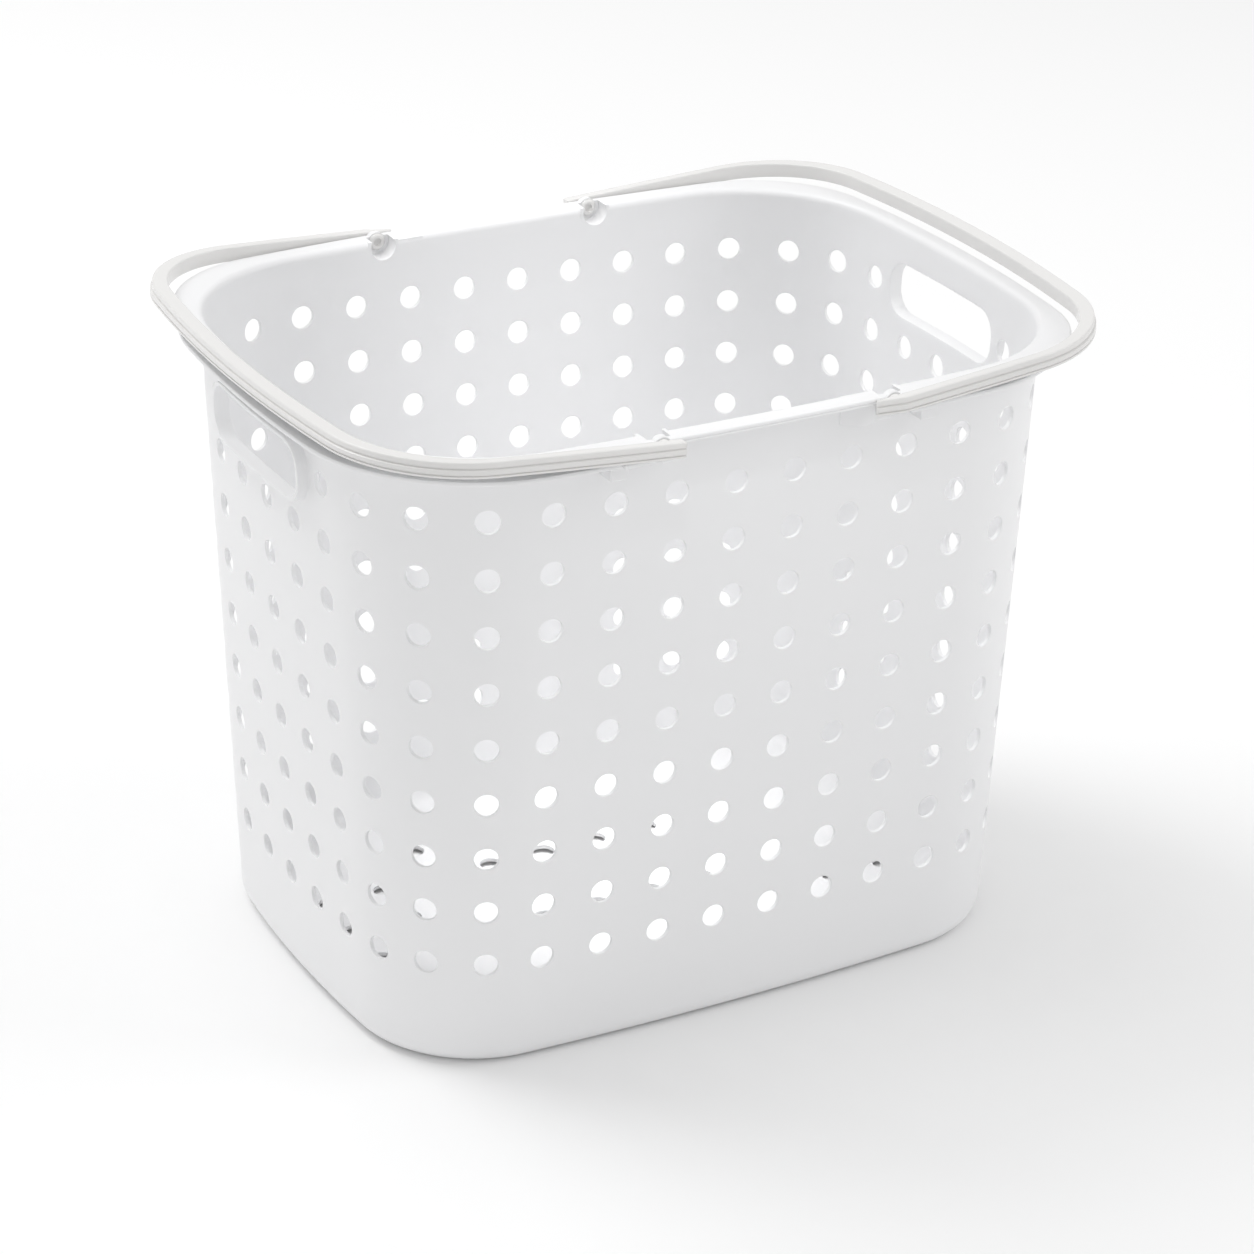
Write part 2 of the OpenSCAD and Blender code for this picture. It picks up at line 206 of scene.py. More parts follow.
# Rounded block with its edges bevelled
def block(name, lo, hi, bevel=0.6, segments=3):
    bm = bmesh.new()
    bmesh.ops.create_cube(bm, size=1)
    for v in bm.verts:
        v.co = Vector([lo[i] + (v.co[i] + 0.5) * (hi[i] - lo[i]) for i in range(3)]) * mm
    bmesh.ops.bevel(bm, geom=bm.edges[:], offset=bevel * mm, segments=segments, profile=0.5, affect="EDGES")
    mesh = bpy.data.meshes.new(name)
    bm.to_mesh(mesh)
    bm.free()
    piece = bpy.data.objects.new(name, mesh)
    bpy.context.scene.collection.objects.link(piece)
    return piece


# Turned solid round the y axis: profile points are (radius, y)
def turned(name, profile, steps=48):
    shell = Shell()
    loops = [shell.loop([(r * cos(2 * pi * k / steps), y, r * sin(2 * pi * k / steps)) for k in range(steps)])
             for r, y in profile]
    shell.bands(loops)
    shell.cap(loops[0], True)
    shell.cap(loops[-1])
    return shell.build(name)


def place(piece, matrix):
    piece.data.transform(matrix)
    if matrix.determinant() < 0:
        piece.data.flip_normals()
    return piece


# Wall, with a grid of cells that each hold one vent
cellSteps = 6  # along each side of a cell
longStart = -(vents["longColumns"] - 1) / 2 * vents["longPitch"]
shortStart = -(vents["shortColumns"] - 1) / 2 * vents["shortPitch"]
columns = []  # (distance round the wall, True on a short side)
for side in range(4):
    count, start, pitch = (
        (vents["shortColumns"], shortStart, vents["shortPitch"]) if side % 2 == 0
        else (vents["longColumns"], longStart, vents["longPitch"]))
    columns += [(side * quarter + start + k * pitch, side % 2 == 0) for k in range(count)]
columns.sort()
slotHalf = (slots["width"] / 2, slots["height"] / 2)


# Distance outside the slot's edge, and the way out, from a point measured from the slot's middle
def outsideSlot(u, v):
    cx, cy = slotHalf[0] - slots["corner"], slotHalf[1] - slots["corner"]
    dx, dy = abs(u) - cx, abs(v) - cy
    d = hypot(max(dx, 0), max(dy, 0)) + min(max(dx, dy), 0) - slots["corner"]
    if dx > 0 and dy > 0:
        way = Vector((dx, dy)).normalized()
    else:
        way = Vector((1, 0)) if dx > dy else Vector((0, 1))
    return d, Vector((way.x * (1 if u >= 0 else -1), way.y * (1 if v >= 0 else -1)))


# Grid points near a slot move out to make room for its collar
def makeRoom(s, z):
    middle = round(s / (2 * quarter)) * 2 * quarter
    u, v = s - middle, z - tub["topRow"]
    if abs(u) > 75 or abs(v) > 45:
        return s, z
    d, way = outsideSlot(u, v)
    low, near, far = -2.2, 5.2, 10.4
    if d >= far:
        return s, z
    move = far - (far - max(d, low)) * (far - near) / (far - low) - d
    return s + way.x * move, z + way.y * move


rowTop = tub["topRow"] + vents["rowPitch"] / 2
edges = []  # column boundaries, each the first edge of its column
for k, (s, short) in enumerate(columns):
    before = columns[k - 1][0] - (4 * quarter if k == 0 else 0)
    edges.append((s + before) / 2)
edges.append(edges[0] + 4 * quarter)

wallShell = Shell()


def cellBoundary(s0, s1, z0, z1, acrossSteps=cellSteps):
    right = [(s1, z0 + (z1 - z0) * k / cellSteps) for k in range(cellSteps)]
    top = [(s1 + (s0 - s1) * k / acrossSteps, z1) for k in range(acrossSteps)]
    left = [(s0, z1 + (z0 - z1) * k / cellSteps) for k in range(cellSteps)]
    bottom = [(s0 + (s1 - s0) * k / acrossSteps, z0) for k in range(acrossSteps)]
    return [makeRoom(*p) for p in right + top + left + bottom]


def addCell(s0, s1, sc, zc):
    half = vents["rowPitch"] / 2
    outer = cellBoundary(s0, s1, zc - half, zc + half)
    n = len(outer)
    squeeze = wallRadius(sc) / (wallRadius(sc) + leanAt(zc))
    r, e, w = vents["radius"], vents["edgeRound"], tub["wall"]

    def ring(radius, depth, mix=0.0):
        points = []
        for k, (bs, bz) in enumerate(outer):
            a = -pi / 4 + 2 * pi * k / n
            hs, hz = sc + radius * cos(a) * squeeze, zc + radius * sin(a)
            points.append(wallPoint(hs + (bs - hs) * mix, hz + (bz - hz) * mix, depth))
        return wallShell.loop(points)

    profile = [
        (r + 1.4, 0, 0.0), (r + e, 0, 0.0), (r + e * 0.3, e * 0.3, 0.0), (r, e, 0.0),
        (r, w - e, 0.0), (r + e * 0.3, w - e * 0.3, 0.0), (r + e, w, 0.0), (r + 1.4, w, 0.0),
    ]
    loops = [ring(r, 0, 1.0), ring(r + 1.4, 0, 0.5)] + [ring(*p) for p in profile]
    loops += [ring(r + 1.4, w, 0.5), ring(r, w, 1.0)]
    wallShell.bands(loops)


# The slot's outline, or one outside it, as points spread more closely round its corners
def slotLoop(count, grow):
    hw, hh, c = slotHalf[0], slotHalf[1], slots["corner"]
    spots = []  # fine outline, from the middle of the right end anticlockwise
    for cx, cy, a0 in ((hw - c, hh - c, 0), (-(hw - c), hh - c, 90), (-(hw - c), -(hh - c), 180), (hw - c, -(hh - c), 270)):
        for k in range(25):
            a = radians(a0 + k * 90 / 24)
            spots.append((Vector((cx + c * cos(a), cy + c * sin(a))), a))
    spots = [(Vector((hw, 0)), 0.0)] + spots + [(Vector((hw, 0)), 2 * pi)]
    weight = [0.0]
    for (p, a), (q, b) in zip(spots, spots[1:]):
        weight.append(weight[-1] + (q - p).length + 14 * (b - a))
    out, j = [], 0
    for k in range(count):
        t = weight[-1] * k / count
        while weight[j + 1] < t:
            j += 1
        f = (t - weight[j]) / max(weight[j + 1] - weight[j], 1e-9)
        (p, a), (q, b) = spots[j], spots[j + 1]
        p, a = p + (q - p) * f, a + (b - a) * f
        out.append(p + Vector((cos(a), sin(a))) * grow)
    return out


def addSlot(s0, s1, sc, zc):
    half = vents["rowPitch"] / 2
    outer = cellBoundary(s0, s1, zc - half, zc + half, 3 * cellSteps)
    turn = cellSteps // 2
    outer = outer[turn:] + outer[:turn]  # starts at the middle of the right edge
    n = len(outer)
    t, o, w = slots["collarThick"], slots["collarOut"], tub["wall"]

    def ring(grow, depth, mix=0.0):
        points = []
        for (u, v), (bs, bz) in zip(slotLoop(n, grow), outer):
            hs, hz = sc + u, zc + v
            points.append(wallPoint(hs + (bs - hs) * mix, hz + (bz - hz) * mix, depth))
        return wallShell.loop(points)

    profile = [
        (t + 1.0, 0, 0), (t + 0.35, -0.25, 0), (t, -0.9, 0), (t, 0.9 - o, 0), (t * 0.86, 0.25 - o, 0), (t * 0.5, -o, 0),
        (t * 0.14, 0.25 - o, 0), (0, 0.9 - o, 0), (0, w - 1.3, 0), (0.35, w - 0.35, 0), (1.3, w, 0),
    ]
    loops = [ring(t + 1.0, 0, 1.0)] + [ring(*p) for p in profile] + [ring(1.3, w, 0.5), ring(1.3, w, 1.0)]
    wallShell.bands(loops)


for k, (s, short) in enumerate(columns):
    fromMiddle = abs(s - round(s / (2 * quarter)) * 2 * quarter)
    inSlot = short and fromMiddle < 1.5 * vents["shortPitch"]
    if inSlot and fromMiddle < 1:
        addSlot(edges[k - 1], edges[k + 2], s, tub["topRow"])
    for row in range(1 if inSlot else 0, vents["rows"]):
        addCell(edges[k], edges[k + 1], s, tub["topRow"] - row * vents["rowPitch"])

# Plain bands over and under the vents, the rim, the rounded base edge and the standing ring
stations = []
for k in range(len(columns)):
    stations += [edges[k] + (edges[k + 1] - edges[k]) * i / cellSteps for i in range(cellSteps)]
angles = [facing(s) for s in stations]


def tubLoop(z, out=0.0, level=None):
    offset = leanAt(z if level is None else level) + out
    return wallShell.loop([(*outlinePoint(tubLine, a, offset), z) for a in angles])


# Loop a share of the way from the tub's inner face to the rim's edge, then moved outwards
def rimLoop(z, share, out=0.0):
    points = []
    for a in angles:
        inner = outlinePoint(tubLine, a, leanAt(rim["top"]) - tub["wall"])
        edge = outlinePoint(rimLine, a)
        p = inner + (edge - inner) * share + Vector((cos(a), sin(a))) * out
        points.append((p.x, p.y, z))
    return wallShell.loop(points)


rimTop, wallThick, innerRound = rim["top"], tub["wall"], rim["innerRound"]
upper = [wallShell.loop([wallPoint(*makeRoom(s, rowTop)) for s in stations])]
for drop, out in ((9.5, 0), (6.0, 0), (4.4, 0.1), (3.3, 0.6), (2.7, 1.6)):
    upper.append(tubLoop(rimTop - drop, out))
upper += [rimLoop(rimTop - 2.6, 1.0, -2.6), rimLoop(rimTop - 2.9, 1.0, -2.2), rimLoop(rimTop - 3.3, 1.0, -1.9)]
for drop, inside in ((3.4, 1.5), (3.4, 0.6), (3.25, 0.12), (2.95, 0), (2.6, 0), (2.4, 0.12), (2.2, 0.5), (1.9, 0.55),
                     (1.65, 0.15), (1.5, 0), (1.1, 0), (0.6, 0.12), (0.25, 0.4)):  # bead, groove and edge of the rim
    upper.append(rimLoop(rimTop - drop, 1.0, -inside))
upper += [rimLoop(rimTop - 0.06, 1.0, -0.9), rimLoop(rimTop, 1.0, -1.7)]
upper += [rimLoop(rimTop, 0.66), rimLoop(rimTop, 0.4, 1.4)]
for t in (0, 15, 30, 45, 60, 75, 90):  # rounded inner edge
    upper.append(rimLoop(rimTop - innerRound * (1 - cos(radians(t))), 0.0, innerRound * (1 - sin(radians(t)))))
upper.append(tubLoop(rimTop - 9.5, -wallThick))
upper.append(wallShell.loop([wallPoint(*makeRoom(s, rowTop), wallThick) for s in stations]))
wallShell.bands(upper)

rowBottom = tub["topRow"] - (vents["rows"] - 0.5) * vents["rowPitch"]
baseRound = tub["baseEdge"]
lower = [tubLoop(rowBottom), tubLoop(32.0), tubLoop(20.0)]
for t in range(90, -1, -10):
    lower.append(tubLoop(baseRound * (1 - cos(radians(t))), -baseRound * (1 - sin(radians(t))), baseRound))
ringIn = -baseRound - tub["footWidth"]
for z, out in ((0.0, 0.5), (0.15, 0.15), (0.5, 0), (tub["footHeight"], 0)):  # inner edge of the standing ring
    lower.append(tubLoop(z, ringIn + out, baseRound))
wallShell.bands(lower)
insideRound = baseRound - wallThick
upToFloor = tub["floorTop"]
inner = [tubLoop(rowBottom, -wallThick), tubLoop(32.0, -wallThick), tubLoop(20.0, -wallThick)]
for t in range(90, -1, -10):
    rise, reachIn = insideRound * (1 - cos(radians(t))), insideRound * (1 - sin(radians(t)))
    inner.append(tubLoop(upToFloor + rise, -wallThick - reachIn, upToFloor + insideRound))
wallShell.bands(inner)

# Floor, with its own grid of vents
floorRings = []
reach = (tub["halfLength"] + leanAt(0) - baseRound - tub["footWidth"] - 2 * vents["radius"],
         tub["halfWidth"] + leanAt(0) - baseRound - tub["footWidth"] - 2 * vents["radius"])
soft = tub["corner"] * 0.8
for i in range(12):
    for j in range(8):
        x, y = (i - 5.5) * vents["floorPitch"], (j - 3.5) * vents["floorPitch"]
        if hypot(max(abs(x) - (reach[0] - soft), 0), max(abs(y) - (reach[1] - soft), 0)) >= soft:
            continue
        r, e, lowZ = vents["radius"], vents["edgeRound"] * 0.8, tub["footHeight"]
        profile = [(r + e, lowZ), (r + e * 0.3, lowZ + e * 0.3), (r, lowZ + e),
                   (r, upToFloor - e), (r + e * 0.3, upToFloor - e * 0.3), (r + e, upToFloor)]
        loops = [wallShell.loop([(x + q * cos(2 * pi * k / 24), y + q * sin(2 * pi * k / 24), z) for k in range(24)])
                 for q, z in profile]
        wallShell.bands(loops)
        floorRings.append((loops[0], loops[-1]))
for outer, which in ((lower[-1], 0), (inner[-1], 1)):
    loops = [outer] + [rings[which] for rings in floorRings]
    flat = [index for loop in loops for index in loop]
    for triangle in tessellate_polygon([[wallShell.points[index] for index in loop] for loop in loops]):
        wallShell.faces.append(tuple(flat[index] for index in triangle))
basket = wallShell.build("Basket")
print("tub shell", len(basket.data.vertices), "points")

# Ledges round both ends
ledgeTop = rimTop - rim["ledgeDrop"]
ledgeThick, ledgeOut = rim["ledgeThick"], rim["ledgeReach"]
ledgeProfile = [
    (-1.0, ledgeTop), (ledgeOut - 1.0, ledgeTop), (ledgeOut - 0.3, ledgeTop - 0.3), (ledgeOut, ledgeTop - 0.9),
    (ledgeOut, ledgeTop - ledgeThick + 0.9), (ledgeOut - 0.3, ledgeTop - ledgeThick + 0.3),
    (ledgeOut - 1.0, ledgeTop - ledgeThick), (-1.0, ledgeTop - ledgeThick),
]
ledges = []
for side in (0, 1):
    shell = Shell()
    half = quarter - rim["ledgeStart"]
    sweep = [side * 2 * quarter - half + 2 * half * k / 120 for k in range(121)]
    loops = [shell.loop([(*outlinePoint(tubLine, facing(s), o), z) for o, z in ledgeProfile]) for s in sweep]
    shell.bands(loops)
    shell.cap(loops[0], True)
    shell.cap(loops[-1])
    ledges.append(shell.build("Ledge"))

# Pivot brackets: y runs inwards from the rim's edge, z up from the pivot
faceY = rimLine["by"] + sqrt(rimLine["longR"] ** 2 - pivots["x"] ** 2)
wallY = tubLine["by"] + sqrt((tubLine["longR"] + leanAt(rimTop) - wallThick) ** 2 - pivots["x"] ** 2)
legY = handleInner["by"] + sqrt(handleInner["longR"] ** 2 - pivots["x"] ** 2)
bandWidth = faceY - wallY
pivotZ = rimTop - pivots["drop"]
tilt = radians(handles["tilt"])
padTop = -handles["height"] / 2 / cos(tilt) - 0.3 + 8.5 * tan(tilt)


def wedge(name, outline, z0, z1, bevel):
    bm = bmesh.new()
    low = [bm.verts.new(Vector((x, y, z0)) * mm) for x, y in outline]
    high = [bm.verts.new(Vector((x, y, z1)) * mm) for x, y in outline]
    n = len(outline)
    bm.faces.new(list(reversed(low)))
    bm.faces.new(high)
    for k in range(n):
        bm.faces.new((low[k], low[(k + 1) % n], high[(k + 1) % n], high[k]))
    bmesh.ops.recalc_face_normals(bm, faces=bm.faces)
    bmesh.ops.bevel(bm, geom=bm.edges[:], offset=bevel * mm, segments=2, profile=0.5, affect="EDGES")
    mesh = bpy.data.meshes.new(name)
    bm.to_mesh(mesh)
    bm.free()
    piece = bpy.data.objects.new(name, mesh)
    bpy.context.scene.collection.objects.link(piece)
    return piece


def bracket(faired):
    cupRadius, cupBack = pivots["scoopRadius"] + pivots["cupWall"], bandWidth - pivots["scoopDepth"] - pivots["cupWall"]
    cup = turned("Cup", [(cupRadius - 0.8, cupBack), (cupRadius - 0.25, cupBack + 0.25), (cupRadius, cupBack + 0.8),
                         (cupRadius, bandWidth - 0.05)], 72)
    lid = block("Lid", (-15, -5, pivots["drop"] - 0.05), (15, bandWidth + 5, 20), 0.05, 1)
    cup = combine(cup, [lid], "DIFFERENCE")
    r = pivots["barrelRadius"]
    barrel = turned("Barrel", [(r - 0.8, 0), (r - 0.25, 0.2), (r, 0.8), (r, bandWidth - 1.8), (r - 0.3, bandWidth - 1.2),
                               (r - 0.9, bandWidth - 1)], 64)
    parts = [
        barrel,
        block("Plate", (0, 0.8, -pivots["plateHeight"]), (pivots["plateWidth"], bandWidth - 1.2, pivots["drop"] - 1.0), 0.9),
        block("Pad", (-(rim["ledgeStart"] - pivots["x"] + 4), -4.4, padTop - 2.4), (-8.5, bandWidth - 1, padTop), 0.6),
        block("Gusset", (-28, 1.5, -14.5), (-18, bandWidth - 1, -4), 0.8),
    ]
    if faired:
        tip = handles["taperedEnd"]
        fairing = wedge("Fairing", [(-1, 0.3), (tip - 1, 0.3), (tip + 13, bandWidth - 3), (tip + 13, bandWidth - 1),
                                    (-1, bandWidth - 1)], -20, 20, 0.5)
        side = wedge("Side", [(-1, -4), (tip - 2, -9), (tip + 3, -12.5), (tip + 13, -12.5),
                              (tip + 13, pivots["drop"] - 1), (-1, pivots["drop"] - 1)], -bandWidth, 0, 0.5)
        parts.append(combine(fairing, [place(side, Matrix.Rotation(pi / 2, 4, "X"))], "INTERSECT"))
    return combine(cup, parts, "UNION")


def pivotCutter():
    back = bandWidth - pivots["scoopDepth"]
    r, bore = pivots["scoopRadius"], pivots["boreRadius"]
    return turned("Cutter", [(bore, -3), (bore, back), (r - 0.6, back), (r - 0.17, back + 0.17), (r, back + 0.6),
                             (r, bandWidth - 0.5), (r + 0.15, bandWidth), (r + 0.9, bandWidth + 1.2),
                             (r + 0.9, bandWidth + 6)], 96)


def pivotPlaces():
    for turnBy in (0, pi):
        spin = Matrix.Rotation(turnBy, 4, "Z")
        yield spin @ Matrix.Translation(Vector((-pivots["x"], -faceY, pivotZ)) * mm), False
        yield spin @ Matrix.Translation(Vector((-pivots["x"], faceY, pivotZ)) * mm) @ Matrix.Diagonal((1, -1, 1, 1)), True


brackets, cutters = [], []
for matrix, faired in pivotPlaces():
    brackets.append(place(bracket(faired), matrix))
    cutters.append(place(pivotCutter(), matrix))
combine(basket, ledges + brackets, "UNION")
combine(basket, cutters, "DIFFERENCE")
basket.data.name = "Basket"
smooth(basket)
print("basket", len(basket.data.polygons), "faces")


# Handles: one made lying to the left, the other is the same one turned half round
def alongLong(line, x, sideY):
    return Vector((x, sideY * (line["by"] + sqrt(line["longR"] ** 2 - x * x))))


# The grip, from the front leg's square end round the far end to the back leg's tapered end
def handleRing(profile, squareX, taperX, steps=150):
    endRound, slack, tipWidth, tipSpread = (0.7, 0.36, 0.13, 0.0), 0.12, 2.4, 0.287
    shell = Shell()
    loops, front, tail, middle = [], [], [], []
    for k, back in enumerate((0, 0.12, 0.4, 0.9, 2.5, 6, 12, 20, 30)):
        x = squareX - back
        front.append((alongLong(handleInner, x, -1), alongLong(handleOuter, x, -1), k))
    for k, back in enumerate((0, 0.12, 0.4, 0.9, 2.2, 4, 6, 8, 10, 12.5, 15, 17.5, 22, 30)):
        x = taperX - back
        tail.append((alongLong(handleInner, x, 1), alongLong(handleOuter, x, 1), k))
    a0 = atan2(front[-1][0].y + handleInner["by"], front[-1][0].x) % (2 * pi)
    a1 = atan2(tail[-1][0].y - handleInner["by"], tail[-1][0].x) % (2 * pi)
    for k in range(1, steps):
        a = a0 + (a1 - a0) * k / steps
        middle.append((outlinePoint(handleInner, a), outlinePoint(handleOuter, a), -1))
    line = front + middle + list(reversed(tail))
    for i, (pin, pout, k) in enumerate(line):
        inset = endRound[k] if 0 <= k < 4 else 0.0
        way = (pout - pin).normalized()
        width = (pout - pin).length - slack
        if i > (len(line) - 1) / 2:
            width = min(width, tipWidth + (taperX - pin.x) * tipSpread)
        points = []
        for side, x, z in profile:
            t = x if side == "in" else width - x
            t = min(max(t, inset), width - inset)
            limit = handles["height"] / 2 - inset
            p = pin + way * t
            points.append((p.x, p.y, min(max(z, -limit), limit)))
        loops.append(shell.loop(points))
    shell.bands(loops)
    shell.cap(loops[0], True)
    shell.cap(loops[-1])
    return shell


step, halfHeight = handles["step"], handles["height"] / 2
gripProfile = [
    ("in", 0, 3.0), ("in", 0.12, 3.6), ("in", 0.5, 4.0), ("in", 1.1, 4.1), ("out", step + 1.3, 4.1),
    ("out", step + 0.6, 3.98),
    ("out", step + 0.15, 3.55), ("out", step, 2.9), ("out", step, 1.2), ("out", step + 0.5, 1.0), ("out", step + 0.5, 0.55),
    ("out", step, 0.35), ("out", 0.35, 0.25), ("out", 0.05, 0.0), ("out", 0, -0.4), ("out", 0, -2.0), ("out", 0.15, -2.15),
    ("out", 0.8, -2.3), ("out", 0.8, -2.8), ("out", 0.15, -2.95), ("out", 0, -3.15), ("out", 0.1, -3.75),
    ("out", 0.45, -4.1), ("out", 1.5, -4.1),
    ("in", 1.0, -4.1), ("in", 0.35, -4.0), ("in", 0, -3.4),
]


def makeHandle(name):
    squareX, taperX = -pivots["x"] + handles["squareEnd"], -pivots["x"] + handles["taperedEnd"]
    grip = handleRing(gripProfile, squareX, taperX).build(name)
    w = handles["wallThick"]
    roof = -halfHeight + handles["channel"]
    channelProfile = [
        ("in", w, -5.0), ("in", w, roof - 0.8), ("in", w + 0.25, roof - 0.25), ("in", w + 0.8, roof),
        ("out", step + w + 0.8, roof), ("out", step + w + 0.25, roof - 0.25), ("out", step + w, roof - 0.8),
        ("out", step + w, -5.0),
    ]
    end = -pivots["x"] - 12
    shell = Shell()
    loops = []
    a0 = (atan2(alongLong(handleInner, end, -1).y + handleInner["by"], end)) % (2 * pi)
    a1 = (atan2(alongLong(handleInner, end, 1).y - handleInner["by"], end)) % (2 * pi)
    for k in range(151):
        a = a0 + (a1 - a0) * k / 150
        pin, pout = outlinePoint(handleInner, a), outlinePoint(handleOuter, a)
        way, width = (pout - pin).normalized(), (pout - pin).length
        loops.append(shell.loop([(*(pin + way * (x if side == "in" else width - x)), z) for side, x, z in channelProfile]))
    shell.bands(loops)
    shell.cap(loops[0], True)
    shell.cap(loops[-1])
    grip = combine(grip, [shell.build("Channel")], "DIFFERENCE")
    r, core = handles["pegRadius"], handles["pegCore"]
    through = legY - wallY - pivots["scoopDepth"]
    lip, length = handles["snapLip"], handles["snapLength"]
    face = through + length  # the snap head's end
    pegProfile = [
        (r - 0.3, -2), (r, -1.7), (r, through + 0.2), (r + lip, through + 0.25), (r + lip, through + 0.7),
        (r - 0.2, face), (r - 0.6, face + 0.2), (core + 0.4, face + 0.2), (core, face - 0.1),
        (core - 0.2, face - 1.3), (core - 0.9, face - 1.6),
    ]
    pegs = []
    for side in (-1, 1):
        peg = turned("Peg", pegProfile, 48)
        matrix = Matrix.Translation(Vector((-pivots["x"], side * legY, 0)) * mm) @ Matrix.Diagonal((1, -side, 1, 1))
        pegs.append(place(peg, matrix))
    grip = combine(grip, pegs, "UNION")
    swing = Matrix.Translation(Vector((-pivots["x"], 0, pivotZ)) * mm) @ Matrix.Rotation(tilt, 4, "Y")
    place(grip, swing @ Matrix.Translation(Vector((pivots["x"], 0, 0)) * mm))
    smooth(grip)
    return grip


leftHandle = makeHandle("LeftHandle")
rightHandle = leftHandle.copy()
rightHandle.data = leftHandle.data.copy()
rightHandle.name = "RightHandle"
bpy.context.scene.collection.objects.link(rightHandle)
place(rightHandle, Matrix.Rotation(pi, 4, "Z"))
print("handles", len(leftHandle.data.polygons), "faces each")

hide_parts("basket")
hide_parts("left_handle")
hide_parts("right_handle")
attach(basket, "basket")
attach(leftHandle, "left_handle")
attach(rightHandle, "right_handle")


# Materials: moulded polypropylene, with its grain and mottle worked out from where a point lies
grain = {"size": 2600.0, "waviness": 14.0, "mottle": 5.0}


# Node group: fine satin grain as a height, slow waviness of the moulding, and a mottled mask
def mouldedSurface():
    group = bpy.data.node_groups.new("Moulded surface", "ShaderNodeTree")
    sizes = (("Grain size", grain["size"]), ("Waviness", grain["waviness"]), ("Mottle size", grain["mottle"]))
    for label, value in sizes:
        socket = group.interface.new_socket(label, in_out="INPUT", socket_type="NodeSocketFloat")
        socket.default_value = value
    for label in ("Height", "Mottle"):
        group.interface.new_socket(label, in_out="OUTPUT", socket_type="NodeSocketFloat")
    nodes, links = group.nodes, group.links
    enter, leave = nodes.new("NodeGroupInput"), nodes.new("NodeGroupOutput")
    place3d = nodes.new("ShaderNodeTexCoord")
    fine, slow, mottle = (nodes.new("ShaderNodeTexNoise") for _ in range(3))
    for noise, label, detail in ((fine, "Grain size", 3.0), (slow, "Waviness", 1.0), (mottle, "Mottle size", 4.0)):
        links.new(place3d.outputs["Object"], noise.inputs["Vector"])
        links.new(enter.outputs[label], noise.inputs["Scale"])
        noise.inputs["Detail"].default_value = detail
    fineShare, both = nodes.new("ShaderNodeMath"), nodes.new("ShaderNodeMath")
    fineShare.operation, both.operation = "MULTIPLY", "MULTIPLY_ADD"
    fineShare.inputs[1].default_value = 0.05
    links.new(fine.outputs["Fac"], fineShare.inputs[0])
    links.new(slow.outputs["Fac"], both.inputs[0])
    both.inputs[1].default_value = 0.9
    links.new(fineShare.outputs[0], both.inputs[2])
    links.new(both.outputs[0], leave.inputs["Height"])
    links.new(mottle.outputs["Fac"], leave.inputs["Mottle"])
    return group


surfaceGroup = mouldedSurface()


def plastic(name, light, deep, rough, bump, glow):
    material = bpy.data.materials.new(name)
    material.use_nodes = True
    nodes, links = material.node_tree.nodes, material.node_tree.links
    shader = nodes["Principled BSDF"]
    surface = nodes.new("ShaderNodeGroup")
    surface.node_tree = surfaceGroup
    tone = nodes.new("ShaderNodeMix")
    tone.data_type = "RGBA"
    tone.inputs[6].default_value, tone.inputs[7].default_value = (*deep, 1), (*light, 1)
    links.new(surface.outputs["Mottle"], tone.inputs[0])
    links.new(tone.outputs[2], shader.inputs["Base Color"])
    roughness = nodes.new("ShaderNodeMapRange")
    roughness.inputs["From Min"].default_value, roughness.inputs["From Max"].default_value = 0.3, 0.7
    roughness.inputs["To Min"].default_value, roughness.inputs["To Max"].default_value = rough
    links.new(surface.outputs["Mottle"], roughness.inputs["Value"])
    links.new(roughness.outputs["Result"], shader.inputs["Roughness"])
    relief = nodes.new("ShaderNodeBump")
    relief.inputs["Strength"].default_value = bump
    relief.inputs["Distance"].default_value = 0.0006
    links.new(surface.outputs["Height"], relief.inputs["Height"])
    links.new(relief.outputs["Normal"], shader.inputs["Normal"])
    shader.inputs["IOR"].default_value = 1.49
    shader.inputs["Subsurface Weight"].default_value = glow
    shader.inputs["Subsurface Radius"].default_value = (1.0, 1.0, 1.0)
    shader.inputs["Subsurface Scale"].default_value = 0.003
    return material


tubPlastic = plastic("Cool white polypropylene", (0.862, 0.863, 0.87), (0.852, 0.853, 0.86), (0.34, 0.42), 0.08, 0.15)
handlePlastic = plastic("Warm white polypropylene", (0.8, 0.793, 0.782), (0.79, 0.783, 0.772), (0.24, 0.28), 0.02, 0.05)
for piece, material in ((basket, tubPlastic), (leftHandle, handlePlastic), (rightHandle, handlePlastic)):
    piece.data.materials.clear()
    piece.data.materials.append(material)
print("materials")

# Floor, light and camera
studio = {
    "floorColor": (0.95, 0.95, 0.95), "world": 0.67, "azimuth": -0.508, "elevation": 0.448, "roll": 0.019,
    "distance": 2.0534, "target": (0.0078, 0.0, 0.1663), "lens": 105.9,
}
lamps = {  # place, what it points at, size, watts
    "Key": ((-1.3, 1.75, 3.1), (0, 0, 0.15), 1.7, 40),
    "Overhead": ((-0.5, 0.6, 3.9), (0, 0, 0.15), 1.5, 16),
    "Right": ((2.6, -1.4, 2.2), (0, 0, 0.2), 2.0, 21),
}
mouthLamps = {  # place, what it points at, cone in degrees, watts: they light the inside of the tub
    "MouthDown": ((0.0, 0.02, 2.6), (0.0, 0.02, 0.0), 5.6, 190),
    "MouthBack": ((-0.6, -1.0, 2.5), (0.05, 0.07, 0.22), 7.2, 105),
}
bm = bmesh.new()
bmesh.ops.create_grid(bm, x_segments=1, y_segments=1, size=12)
floorMesh = bpy.data.meshes.new("StudioFloor")
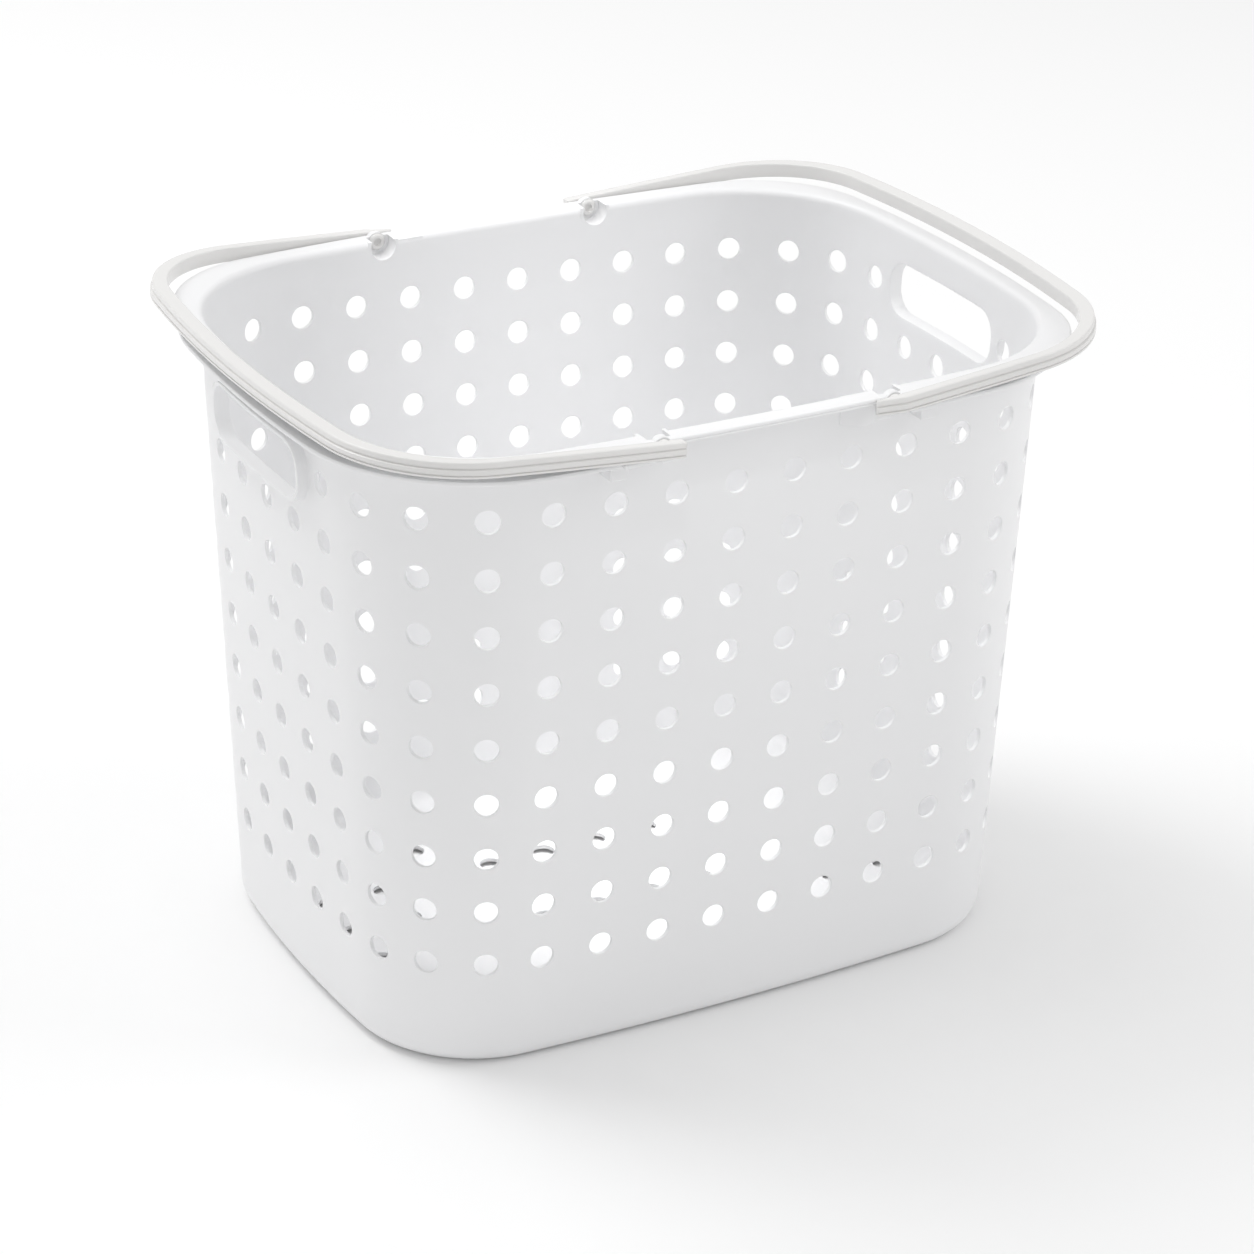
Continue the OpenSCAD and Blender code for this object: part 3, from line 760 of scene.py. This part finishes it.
bm.to_mesh(floorMesh)
bm.free()
floor = bpy.data.objects.new("StudioFloor", floorMesh)
bpy.context.scene.collection.objects.link(floor)
floorPaint = bpy.data.materials.new("Pale floor")
floorPaint.use_nodes = True
paint = floorPaint.node_tree.nodes["Principled BSDF"]
paint.inputs["Base Color"].default_value = (*studio["floorColor"], 1)
paint.inputs["Roughness"].default_value = 0.95
paint.inputs["Specular IOR Level"].default_value = 0.0
floor.data.materials.append(floorPaint)

world = bpy.data.worlds.new("Studio")
world.use_nodes = True
world.node_tree.nodes["Background"].inputs["Color"].default_value = (1, 1, 1, 1)
world.node_tree.nodes["Background"].inputs["Strength"].default_value = studio["world"]
bpy.context.scene.world = world
bpy.context.scene.view_settings.view_transform = "Standard"


def aimed(where, at):
    turn = (Vector(where) - Vector(at)).to_track_quat("Z", "Y").to_matrix().to_4x4()
    return Matrix.Translation(where) @ turn


for name, (where, at, size, watts) in lamps.items():
    data = bpy.data.lights.new(name, "AREA")
    data.shape, data.size, data.energy = "DISK", size, watts
    lamp = bpy.data.objects.new(name, data)
    lamp.matrix_world = aimed(where, at)
    bpy.context.scene.collection.objects.link(lamp)

for name, (where, at, cone, watts) in mouthLamps.items():
    data = bpy.data.lights.new(name, "SPOT")
    data.spot_size, data.spot_blend, data.energy, data.shadow_soft_size = radians(cone), 0.5, watts, 0.08
    lamp = bpy.data.objects.new(name, data)
    lamp.matrix_world = aimed(where, at)
    bpy.context.scene.collection.objects.link(lamp)

az, el = studio["azimuth"], studio["elevation"]
back = Vector((sin(az) * cos(el), -cos(az) * cos(el), sin(el)))
lens = bpy.data.cameras.new("Camera")
lens.sensor_width = 36
lens.lens = studio["lens"]
camera = bpy.data.objects.new("Camera", lens)
bpy.context.scene.collection.objects.link(camera)
aim = back.to_track_quat("Z", "Y").to_matrix().to_4x4() @ Matrix.Rotation(studio["roll"], 4, "Z")
camera.matrix_world = Matrix.Translation(Vector(studio["target"]) + back * studio["distance"]) @ aim
bpy.context.scene.camera = camera
